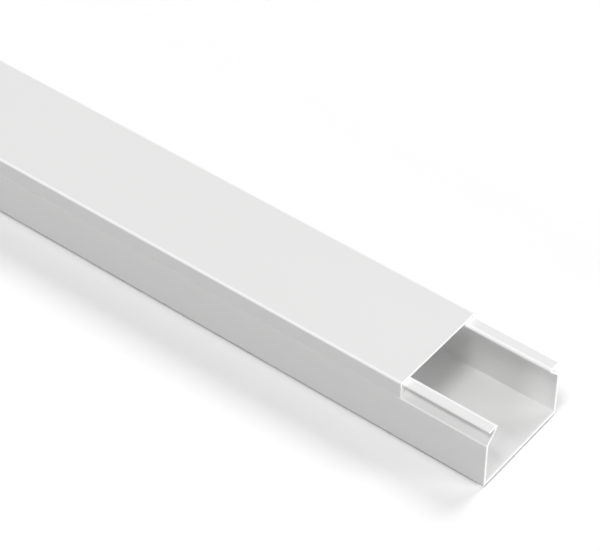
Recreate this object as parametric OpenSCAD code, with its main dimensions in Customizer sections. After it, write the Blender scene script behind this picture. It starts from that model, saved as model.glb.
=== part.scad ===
// Cable trunking in two extruded pieces: a U-shaped base, and the cover that clips over its folded lips.
// X runs along the length, with the open end at +X. Y is the width, Z the height.
// The origin is the centre of the base's underside.

/* [Length] */
// Length that the base is sold in
base_len = 2000; // [300:10:4000]
// Length of the cover, which is sold with the base
cover_len = 2000; // [300:10:4000]
// How far the cover is set back from the base's open end
cover_setback = 33; // [0:1:200]

/* [Section] */
// Overall width
trunk_w = 40; // [30:1:120]
// Overall height with the cover on
trunk_h = 25; // [18:0.5:80]
// Thickness of the base's walls
wall_t = 1; // [0.8:0.1:2]
// Thickness of the base's floor
floor_t = 1; // [0.8:0.1:3]
// Radius of the inside corners between floor and walls
floor_corner_r = 0.5; // [0.2:0.1:3]
// Radius on the outside corners under the base
base_edge_r = 0.3; // [0.1:0.1:0.8]

/* [Lip] */
// Angle from the horizontal at which the top of each wall slants in
slant_angle = 47; // [38:1:50]
// Radius where the wall turns into the slant
shoulder_r = 0.4; // [0.2:0.1:1.5]
// Thickness of the lip that is folded back outwards, and radius of its fold
lip_t = 0.8; // [0.8:0.1:1.5]

/* [Cover] */
// Thickness of the cover's flat top
cover_t = 1; // [0.8:0.1:1.8]
// Thickness of the cover's side skirts
skirt_t = 0.9; // [0.6:0.1:1.5]
// Height of the skirts, from the top of the cover to the base's shoulder
skirt_h = 6.8; // [6:0.2:10]
// Radius along the cover's two top edges
cover_edge_r = 0.6; // [0.2:0.1:1.2]
// How far each catch reaches in under the lip from the skirt
catch_reach = 1.7; // [0.8:0.1:2.2]

/* [Fit] */
// Clearance between the cover and the base wherever they face each other
fit_gap = 0.15; // [0.05:0.05:0.3]
// Radius on the tips of the lip and the catch, and inside the cover's corners
tip_r = 0.35; // [0.1:0.05:0.35]
// Radius at the roots of the notches that hold the tips, and on the skirts' lower edges
root_r = 0.06; // [0.04:0.02:0.2]

/* [Smoothness] */
// Straight steps in each rounded corner
arc_steps = 8; // [4:1:16]

/* [Hidden] */
plastic = "whitesmoke";

// Base: heights of the shoulder, of the lip's top and of its underside, and where its tip ends
half_w = trunk_w / 2;
shoulder_z = trunk_h - skirt_h;
lip_top_z = trunk_h - cover_t - fit_gap;
lip_under_z = lip_top_z - lip_t;
lip_tip_y = half_w - skirt_t - fit_gap;
// Where the slant's outer face meets the lip's underside
notch_y = half_w - (lip_under_z - shoulder_z) / tan(slant_angle);
// Where the slant's inner face leaves the wall's, and where it would reach the lip's top without the fold
inner_y = half_w - wall_t;
inner_bend_z = shoulder_z - wall_t * tan((90 - slant_angle) / 2);
fold_y = inner_y - (lip_top_z - inner_bend_z) / tan(slant_angle);

// Cover: the catch fills the groove between the lip and the slant, with the clearance all round
skirt_inner_y = half_w - skirt_t;
skirt_end_z = shoulder_z + fit_gap / cos(slant_angle);
catch_y = skirt_inner_y - catch_reach;
catch_top_z = lip_under_z - fit_gap;
catch_nose_z = skirt_end_z + (half_w - catch_y) * tan(slant_angle);

// Each corner is [y, z, radius]. A list runs from the middle of the outline's outside to the middle of
// its inside, on the +Y half.
base_half = [
    [half_w, 0, base_edge_r],
    [half_w, shoulder_z, shoulder_r],
    [notch_y, lip_under_z, root_r],
    [lip_tip_y, lip_under_z, tip_r],
    [lip_tip_y, lip_top_z, tip_r],
    [fold_y, lip_top_z, lip_t],
    [inner_y, inner_bend_z, shoulder_r],
    [inner_y, floor_t, floor_corner_r]
];
cover_half = [
    [half_w, trunk_h, cover_edge_r],
    [half_w, skirt_end_z, root_r],
    [catch_y, catch_nose_z, tip_r],
    [catch_y, catch_top_z, tip_r],
    [skirt_inner_y, catch_top_z, root_r],
    [skirt_inner_y, trunk_h - cover_t, tip_r]
];

function unit(v) = v / norm(v);
function place(corner) = [corner[0], corner[1]];

// The corners of the -Y half, in the order that carries the outline on
function mirrored(half) = [for (i = [len(half) - 1 : -1 : 0]) [-half[i][0], half[i][1], half[i][2]]];

// Points of the arc of radius r that rounds the corner p between its neighbours a and b
function corner_arc(a, p, b, r) =
    let(
        to_a = unit(a - p),
        to_b = unit(b - p),
        half_angle = acos(to_a * to_b) / 2,
        centre = p + unit(to_a + to_b) * r / sin(half_angle),
        start = p + to_a * r / tan(half_angle) - centre,
        side = sign(to_b[0] * to_a[1] - to_b[1] * to_a[0]),
        turn = side * (180 - 2 * half_angle)
    )
    [for (i = [0 : arc_steps])
        let(t = turn * i / arc_steps)
        centre + [start[0] * cos(t) - start[1] * sin(t), start[0] * sin(t) + start[1] * cos(t)]];

function rounded(corners) =
    let(n = len(corners))
    [for (i = [0 : n - 1])
        let(
            before = place(corners[(i + n - 1) % n]),
            after = place(corners[(i + 1) % n])
        )
        each corner_arc(before, place(corners[i]), after, corners[i][2])];

// Extrudes a half outline with its mirror image from x = 0 to x = length
module extrusion(half, length) {
    rotate([90, 0, 90])
    linear_extrude(height = length)
    polygon(rounded(concat(half, mirrored(half))));
}

module trunking_base() {
    color(plastic)
    translate([-base_len / 2, 0, 0])
    extrusion(base_half, base_len);
}

module trunking_cover() {
    color(plastic)
    translate([base_len / 2 - cover_setback - cover_len, 0, 0])
    extrusion(cover_half, cover_len);
}

trunking_base();
trunking_cover();
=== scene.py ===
from math import cos, pi, radians, sin

import bmesh
import bpy
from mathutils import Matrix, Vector


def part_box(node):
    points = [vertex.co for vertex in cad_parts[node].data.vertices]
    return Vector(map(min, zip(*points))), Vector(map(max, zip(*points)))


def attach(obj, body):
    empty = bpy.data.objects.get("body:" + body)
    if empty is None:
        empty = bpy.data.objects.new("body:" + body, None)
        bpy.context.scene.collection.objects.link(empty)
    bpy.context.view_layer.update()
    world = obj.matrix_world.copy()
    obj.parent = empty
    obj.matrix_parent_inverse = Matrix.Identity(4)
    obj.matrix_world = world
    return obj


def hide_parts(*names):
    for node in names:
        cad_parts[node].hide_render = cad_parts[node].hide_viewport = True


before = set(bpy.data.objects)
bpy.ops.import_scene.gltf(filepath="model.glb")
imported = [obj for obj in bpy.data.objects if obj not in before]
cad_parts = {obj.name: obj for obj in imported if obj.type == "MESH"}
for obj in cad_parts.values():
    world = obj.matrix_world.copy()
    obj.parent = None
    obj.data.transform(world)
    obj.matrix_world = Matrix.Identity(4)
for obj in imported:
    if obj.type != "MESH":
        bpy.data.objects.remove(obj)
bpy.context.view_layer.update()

MM = 0.001

# ---------------------------------------------------------------- pieces

# The little radius that deburring leaves along the sawn ends of each piece
BASE_DEBURR = 0.25 * MM
COVER_DEBURR = 0.05 * MM
DEBURR_STEPS = 4
# Rounded edges with radii in this range are polished and painted paler as a highlight, and the flats beside
# them this far
EDGE_RADII = (0.38 * MM, 1 * MM)
EDGE_REACH = 0.5 * MM
# The polish and painted highlight are full where the edge turns this far, and grow this fast with how far the
# edge faces up, towards the light
EDGE_TURN = radians(20)
EDGE_UPWARD_GAIN = 3
# The polish and painted highlight start within this length where the base comes out from under the cover, so
# none is painted where the cover's shade falls
EDGE_FADE = 2 * MM
# A flat gets strips beside its edges if it is longer than this
LONGEST_PLAIN_FLAT = 3 * EDGE_REACH
# Points this close are one, and points this close to the sawn face lie on it
SAME_POINT = 0.001 * MM
ON_FACE = 0.01 * MM
# Material slot of the sawn ends, after slot 0 for the extruded skin
SAWN = 1
# Weight of the large faces over the small ones when the smooth shading is set
FLATS_FIRST = 100


def section(node):
    """A CAD node's section as an ordered loop of (y, z), read off its sawn face at the open end."""
    end_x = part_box(node)[1].x
    bm = bmesh.new()
    bm.from_mesh(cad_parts[node].data)
    bmesh.ops.remove_doubles(bm, verts=bm.verts, dist=SAME_POINT)
    at_end = {v for v in bm.verts if abs(v.co.x - end_x) < ON_FACE}

    def on_outline(edge):
        cut_faces = [f for f in edge.link_faces if all(v in at_end for v in f.verts)]
        return all(v in at_end for v in edge.verts) and len(cut_faces) == 1

    first = next(e for e in bm.edges if on_outline(e))
    loop = [first.verts[0], first.verts[1]]
    edge = first
    while loop[-1] is not loop[0]:
        edge = next(e for e in loop[-1].link_edges if e is not edge and on_outline(e))
        loop.append(edge.other_vert(loop[-1]))
    points = [Vector((v.co.y, v.co.z)) for v in loop[:-1]]
    bm.free()
    area = sum(a.x * b.y - b.x * a.y for a, b in zip(points, points[1:] + points[:1]))
    return points if area > 0 else points[::-1]


def inset(points, depth):
    """The loop moved into the material by depth."""
    moved = []
    for before, point, after in zip(points[-1:] + points[:-1], points, points[1:] + points[:1]):
        into_a = Vector((before.y - point.y, point.x - before.x)).normalized()
        into_b = Vector((point.y - after.y, after.x - point.x)).normalized()
        middle = (into_a + into_b).normalized()
        moved.append(point + middle * depth / middle.dot(into_a))
    return moved


def with_edge_strips(points):
    """The loop with two more points on each long flat, which part the strips at its edges from the rest."""
    parted = []
    for point, following in zip(points, points[1:] + points[:1]):
        parted.append(point)
        along = following - point
        if along.length > LONGEST_PLAIN_FLAT:
            strip = along.normalized() * EDGE_REACH
            parted += [point + strip, following - strip]
    return parted


def polish_and_highlight(points):
    """How much polish and painted highlight each point gets: up to 1 on and beside a rounded edge that faces
    up, towards the light, 0 elsewhere.
    """
    steps = [following - point for point, following in zip(points, points[1:] + points[:1])]
    turns = [-into.angle_signed(out) for into, out in zip(steps[-1:] + steps[:-1], steps)]
    rounding = []
    for step, turn in zip(steps, map(max, turns, turns[1:] + turns[:1])):
        on_edge = turn > 0 and EDGE_RADII[0] < step.length / turn < EDGE_RADII[1]
        rounding.append(turn if on_edge else 0)
    places = [sum(step.length for step in steps[:i]) for i in range(len(points))]
    middles = [place + step.length / 2 for place, step in zip(places, steps)]
    around = sum(step.length for step in steps)
    values = []
    for place, into, out in zip(places, steps[-1:] + steps[:-1], steps):
        gaps = [min(abs(middle - place), around - abs(middle - place)) for middle in middles]
        nearby = sum(turn for turn, gap in zip(rounding, gaps) if gap < EDGE_REACH)
        # Edges facing up, towards the light, get the most polish and painted highlight
        facing_up = -(into + out).normalized().x
        upward = min(1, max(0, EDGE_UPWARD_GAIN * facing_up))
        values.append(min(1, nearby / EDGE_TURN) * upward)
    return values


def stations_along(low_x, high_x, deburr, polish_and_highlight_from):
    """The places (x, depth set in) of the section: round each sawn end and where the polish and painted
    highlight start.
    """
    rings = []
    for step in range(DEBURR_STEPS + 1):
        turn = step / DEBURR_STEPS * pi / 2
        rings.append((deburr * (1 - cos(turn)), deburr * (1 - sin(turn))))
    stations = [(low_x + along, depth) for along, depth in rings]
    if polish_and_highlight_from > low_x:
        stations += [(polish_and_highlight_from - EDGE_FADE, 0), (polish_and_highlight_from, 0)]
    stations += [(high_x - along, depth) for along, depth in reversed(rings)]
    return stations


def section_mesh(name, points, stations):
    """A closed mesh of the section's points at each station, its two ends in the sawn slot."""
    bm = bmesh.new()
    loops = []
    for x, depth in stations:
        loops.append([bm.verts.new((x, p.x, p.y)) for p in inset(points, depth)])
    for loop, following in zip(loops, loops[1:]):
        for i in range(len(points)):
            j = (i + 1) % len(points)
            face = bm.faces.new((loop[i], following[i], following[j], loop[j]))
            face.smooth = True
    for loop in (loops[0], loops[-1][::-1]):
        bm.faces.new(loop).material_index = SAWN
    bmesh.ops.recalc_face_normals(bm, faces=bm.faces)
    mesh = bpy.data.meshes.new(name)
    bm.to_mesh(mesh)
    bm.free()
    return mesh


def extruded(name, node, deburr, polish_and_highlight_from, plastic, sawn):
    """The node's section run along its length, with deburred ends and, from where the polish starts, polished
    edges painted paler as a highlight.
    """
    low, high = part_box(node)
    points = with_edge_strips(section(node))
    stations = stations_along(low.x, high.x, deburr, polish_and_highlight_from)
    mesh = section_mesh(name, points, stations)
    polish_and_highlight_of_points = polish_and_highlight(points)
    polished_and_highlighted = []
    for x, _ in stations:
        polished_and_highlighted += [value if x >= polish_and_highlight_from else 0 for value in polish_and_highlight_of_points]
    # The edge attribute holds each point's polish and painted highlight
    mesh.attributes.new("edge", "FLOAT", "POINT").data.foreach_set("value", polished_and_highlighted)
    for material in (plastic, sawn):
        mesh.materials.append(material)
    piece = bpy.data.objects.new(name, mesh)
    bpy.context.collection.objects.link(piece)
    keep_flats_flat = piece.modifiers.new("flat_faces_shade_flat", "WEIGHTED_NORMAL")
    keep_flats_flat.weight = FLATS_FIRST
    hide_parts(node)
    return piece


# ---------------------------------------------------------------- materials

BASE_WHITE = (0.78, 0.78, 0.777)
# The cover is the same PVC as the base, its white set a little darker as painted shade, to tone down its
# well-lit top
COVER_WHITE = (0.76, 0.76, 0.757)
SAWN_WHITE = (0.86, 0.86, 0.856)
# How much paler than the flats the polished edges are painted, as a share (a painted highlight), and how much
# less rough the polish makes them
EDGE_PAINTED_HIGHLIGHT = 0.24
EDGE_SMOOTHER = 0.2
# The middle of a noise's range, where nearly all its values lie
NOISE_MIDDLE = (0.3, 0.7)
# Features per metre along X, Y and Z, from the die, the flow of the plastic, the blade and its dust
DIE_LINES = (1.5, 700, 700)
FLOW_BANDS = (0.8, 110, 110)
CLOUDING = (14, 25, 25)
GRAIN = (2600, 2600, 2600)
BLADE_MARKS = (1, 90, 3300)
CHALK = (1800, 1800, 1800)
BLADE_TILT = radians(12)
# Each surface's shade is the sum of two values in its range, so it stays close to 1
SKIN_SHADE = (0.497, 0.503)
SAWN_SHADE = (0.49, 0.51)
# The skin's roughness is the sum of these two
DIE_LINE_ROUGHNESS = (0.17, 0.21)
HAZE_ROUGHNESS = (0.19, 0.23)
SAWN_ROUGHNESS = (0.55, 0.7)
# Depths of the fine relief
DIE_LINE_DEPTH = 0.004 * MM
GRAIN_DEPTH = 0.0015 * MM
BLADE_MARK_DEPTH = 0.012 * MM
CHALK_DEPTH = 0.006 * MM


def new_material(name):
    """A material with its node tree and its Principled shader."""
    material = bpy.data.materials.new(name)
    material.use_nodes = True
    tree = material.node_tree
    return material, tree, tree.nodes["Principled BSDF"]


def noise(tree, per_metre, detail, turn=0):
    """Noise in object coordinates, with its own features per metre along X, Y and Z, turned about X."""
    coordinates = tree.nodes.new("ShaderNodeTexCoord")
    mapping = tree.nodes.new("ShaderNodeMapping")
    mapping.inputs["Rotation"].default_value = (turn, 0, 0)
    mapping.inputs["Scale"].default_value = per_metre
    texture = tree.nodes.new("ShaderNodeTexNoise")
    texture.inputs["Scale"].default_value = 1
    texture.inputs["Detail"].default_value = detail
    tree.links.new(coordinates.outputs["Object"], mapping.inputs["Vector"])
    tree.links.new(mapping.outputs["Vector"], texture.inputs["Vector"])
    return texture.outputs["Fac"]


def spread(tree, value, low, high):
    """A noise's values, the middle of their range spread from low to high."""
    ranged = tree.nodes.new("ShaderNodeMapRange")
    ranged.inputs["From Min"].default_value = NOISE_MIDDLE[0]
    ranged.inputs["From Max"].default_value = NOISE_MIDDLE[1]
    ranged.inputs["To Min"].default_value = low
    ranged.inputs["To Max"].default_value = high
    tree.links.new(value, ranged.inputs["Value"])
    return ranged.outputs["Result"]


def sum_of(tree, *values):
    """The values added up."""
    total = values[0]
    for value in values[1:]:
        added = tree.nodes.new("ShaderNodeMath")
        added.operation = "ADD"
        tree.links.new(total, added.inputs[0])
        tree.links.new(value, added.inputs[1])
        total = added.outputs["Value"]
    return total


def scaled_by(tree, value, factor):
    """The value times a fixed factor."""
    scaled = tree.nodes.new("ShaderNodeMath")
    scaled.operation = "MULTIPLY"
    scaled.inputs[1].default_value = factor
    tree.links.new(value, scaled.inputs[0])
    return scaled.outputs["Value"]


def shaded(tree, shader, colour, shade):
    """The colour times a shade that varies closely around 1."""
    scaled = tree.nodes.new("ShaderNodeVectorMath")
    scaled.operation = "SCALE"
    scaled.inputs[0].default_value = colour
    tree.links.new(shade, scaled.inputs["Scale"])
    tree.links.new(scaled.outputs["Vector"], shader.inputs["Base Color"])


def relief(tree, shader, layers):
    """Bumps one on another, each a height texture and its depth in metres."""
    normal = None
    for height, depth in layers:
        bump = tree.nodes.new("ShaderNodeBump")
        bump.inputs["Strength"].default_value = 1
        bump.inputs["Distance"].default_value = depth
        tree.links.new(height, bump.inputs["Height"])
        if normal:
            tree.links.new(normal, bump.inputs["Normal"])
        normal = bump.outputs["Normal"]
    tree.links.new(normal, shader.inputs["Normal"])


def extruded_pvc(name, colour):
    """Skin of extruded PVC: die lines along its length, faint clouding, fine grain, polished edges with a
    painted highlight.
    """
    material, tree, shader = new_material(name)
    attribute = tree.nodes.new("ShaderNodeAttribute")
    attribute.attribute_name = "edge"
    edge = attribute.outputs["Fac"]
    die_lines = noise(tree, DIE_LINES, detail=3)
    flow_bands = noise(tree, FLOW_BANDS, detail=1)
    clouding = noise(tree, CLOUDING, detail=2)
    grain = noise(tree, GRAIN, detail=2)
    bands = spread(tree, flow_bands, *SKIN_SHADE)
    clouds = spread(tree, clouding, *SKIN_SHADE)
    # Painted highlight: the skin's colour made paler on the polished edges
    painted_highlight = scaled_by(tree, edge, EDGE_PAINTED_HIGHLIGHT)
    shaded(tree, shader, colour, sum_of(tree, bands, clouds, painted_highlight))
    lines = spread(tree, die_lines, *DIE_LINE_ROUGHNESS)
    haze = spread(tree, clouding, *HAZE_ROUGHNESS)
    smoother = scaled_by(tree, edge, -EDGE_SMOOTHER)
    tree.links.new(sum_of(tree, lines, haze, smoother), shader.inputs["Roughness"])
    relief(tree, shader, [(die_lines, DIE_LINE_DEPTH), (grain, GRAIN_DEPTH)])
    return material


def sawn_pvc(name):
    """Sawn end of the PVC: paler and rougher, with the blade's fine parallel marks."""
    material, tree, shader = new_material(name)
    blade_marks = noise(tree, BLADE_MARKS, detail=2, turn=BLADE_TILT)
    chalk = noise(tree, CHALK, detail=3)
    marks = spread(tree, blade_marks, *SAWN_SHADE)
    dust = spread(tree, chalk, *SAWN_SHADE)
    shaded(tree, shader, SAWN_WHITE, sum_of(tree, marks, dust))
    tree.links.new(spread(tree, chalk, *SAWN_ROUGHNESS), shader.inputs["Roughness"])
    relief(tree, shader, [(blade_marks, BLADE_MARK_DEPTH), (chalk, CHALK_DEPTH)])
    return material


# The base's edges are polished, and painted paler as a highlight, where the cover leaves them free, and the
# cover's all along
cover_far_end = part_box("trunking_cover")[0].x
cover_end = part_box("trunking_cover")[1].x
sawn = sawn_pvc("sawn_pvc")
base_plastic = extruded_pvc("base_pvc", BASE_WHITE)
cover_plastic = extruded_pvc("cover_pvc", COVER_WHITE)
base = extruded("channel_base", "trunking_base", BASE_DEBURR, cover_end, base_plastic, sawn)
cover = extruded("channel_cover", "trunking_cover", COVER_DEBURR, cover_far_end, cover_plastic, sawn)
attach(base, "base")
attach(cover, "cover")

# ---------------------------------------------------------------- floor, lights and camera

FLOOR_SIZE = 12.0
# A length of trunking never lies dead flat, so the floor is drawn this far below it
FLOOR_GAP = 0.9 * MM
# The floor and the surround as they are seen or reflected, and as they light the object
FLOOR_SEEN = 1.0
FLOOR_LIGHT = 0.5
SURROUND_SEEN = 1.0
SURROUND_LIGHT = 0
# name, azimuth, elevation and width in degrees, strength
LIGHTS = [
    ("end_near", 80, 20, 30, 1.53),
    ("end_far", 110, 22, 30, 1.3),
    ("back", 180, 51, 26, 1.28),
    ("front", 0, 66, 20, 1.17),
    ("front_low", 15, 12, 15, 0.66),
]
# Focal length in mm, and the nearest distance seen
FOCAL_LENGTH = 151.0
NEAREST_SEEN = 10 * MM
# The camera's place from the near lower corner of the open end, and its aim in degrees
CAMERA_FROM_CORNER = Vector((0.2741, -0.4421, 0.5940))
CAMERA_LOOKS_DOWN = 44.17
CAMERA_HEADING = 38.12


def seen_or_lighting(tree, seen, lighting):
    """One value for rays from the camera and for reflections and clear views, another for the rest."""
    path = tree.nodes.new("ShaderNodeLightPath")
    to_camera = sum_of(
        tree,
        path.outputs["Is Camera Ray"],
        path.outputs["Is Glossy Ray"],
        path.outputs["Is Transmission Ray"],
    )
    value = tree.nodes.new("ShaderNodeMapRange")
    value.inputs["To Min"].default_value = lighting
    value.inputs["To Max"].default_value = seen
    tree.links.new(to_camera, value.inputs["Value"])
    return value.outputs["Result"]


def floor():
    """A plain matt floor that is seen white and keeps the object's shadow."""
    bpy.ops.mesh.primitive_plane_add(size=FLOOR_SIZE, location=(0, 0, -FLOOR_GAP))
    plane = bpy.context.object
    plane.name = "floor"
    material, tree, shader = new_material("floor")
    tree.links.new(seen_or_lighting(tree, FLOOR_SEEN, FLOOR_LIGHT), shader.inputs["Base Color"])
    shader.inputs["Roughness"].default_value = 1
    shader.inputs["Specular IOR Level"].default_value = 0
    plane.data.materials.append(material)


def surround():
    """A surround that is seen, and reflected, as plain white, and lights nothing."""
    world = bpy.data.worlds.new("studio")
    world.use_nodes = True
    background = world.node_tree.nodes["Background"]
    background.inputs["Color"].default_value = (1, 1, 1, 1)
    strength = seen_or_lighting(world.node_tree, SURROUND_SEEN, SURROUND_LIGHT)
    world.node_tree.links.new(strength, background.inputs["Strength"])
    bpy.context.scene.world = world


def light(name, azimuth, elevation, width, strength):
    """A soft lamp far away: azimuth 0 is in front, towards -Y, and 90 is off the open end."""
    lamp = bpy.data.lights.new(name, "SUN")
    lamp.angle = radians(width)
    lamp.energy = strength
    sun = bpy.data.objects.new(name, lamp)
    sun.rotation_euler = (radians(90 - elevation), 0, radians(azimuth))
    bpy.context.collection.objects.link(sun)


def look():
    """The camera, placed from the near lower corner of the base's open end."""
    low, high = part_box("trunking_base")
    near_corner = Vector((high.x, low.y, 0))
    lens = bpy.data.cameras.new("camera")
    lens.lens = FOCAL_LENGTH
    lens.clip_start = NEAREST_SEEN
    camera = bpy.data.objects.new("camera", lens)
    camera.location = near_corner + CAMERA_FROM_CORNER
    camera.rotation_euler = (radians(90 - CAMERA_LOOKS_DOWN), 0, radians(CAMERA_HEADING))
    bpy.context.collection.objects.link(camera)
    bpy.context.scene.camera = camera


floor()
surround()
for settings in LIGHTS:
    light(*settings)
look()
bpy.context.scene.view_settings.view_transform = "Standard"
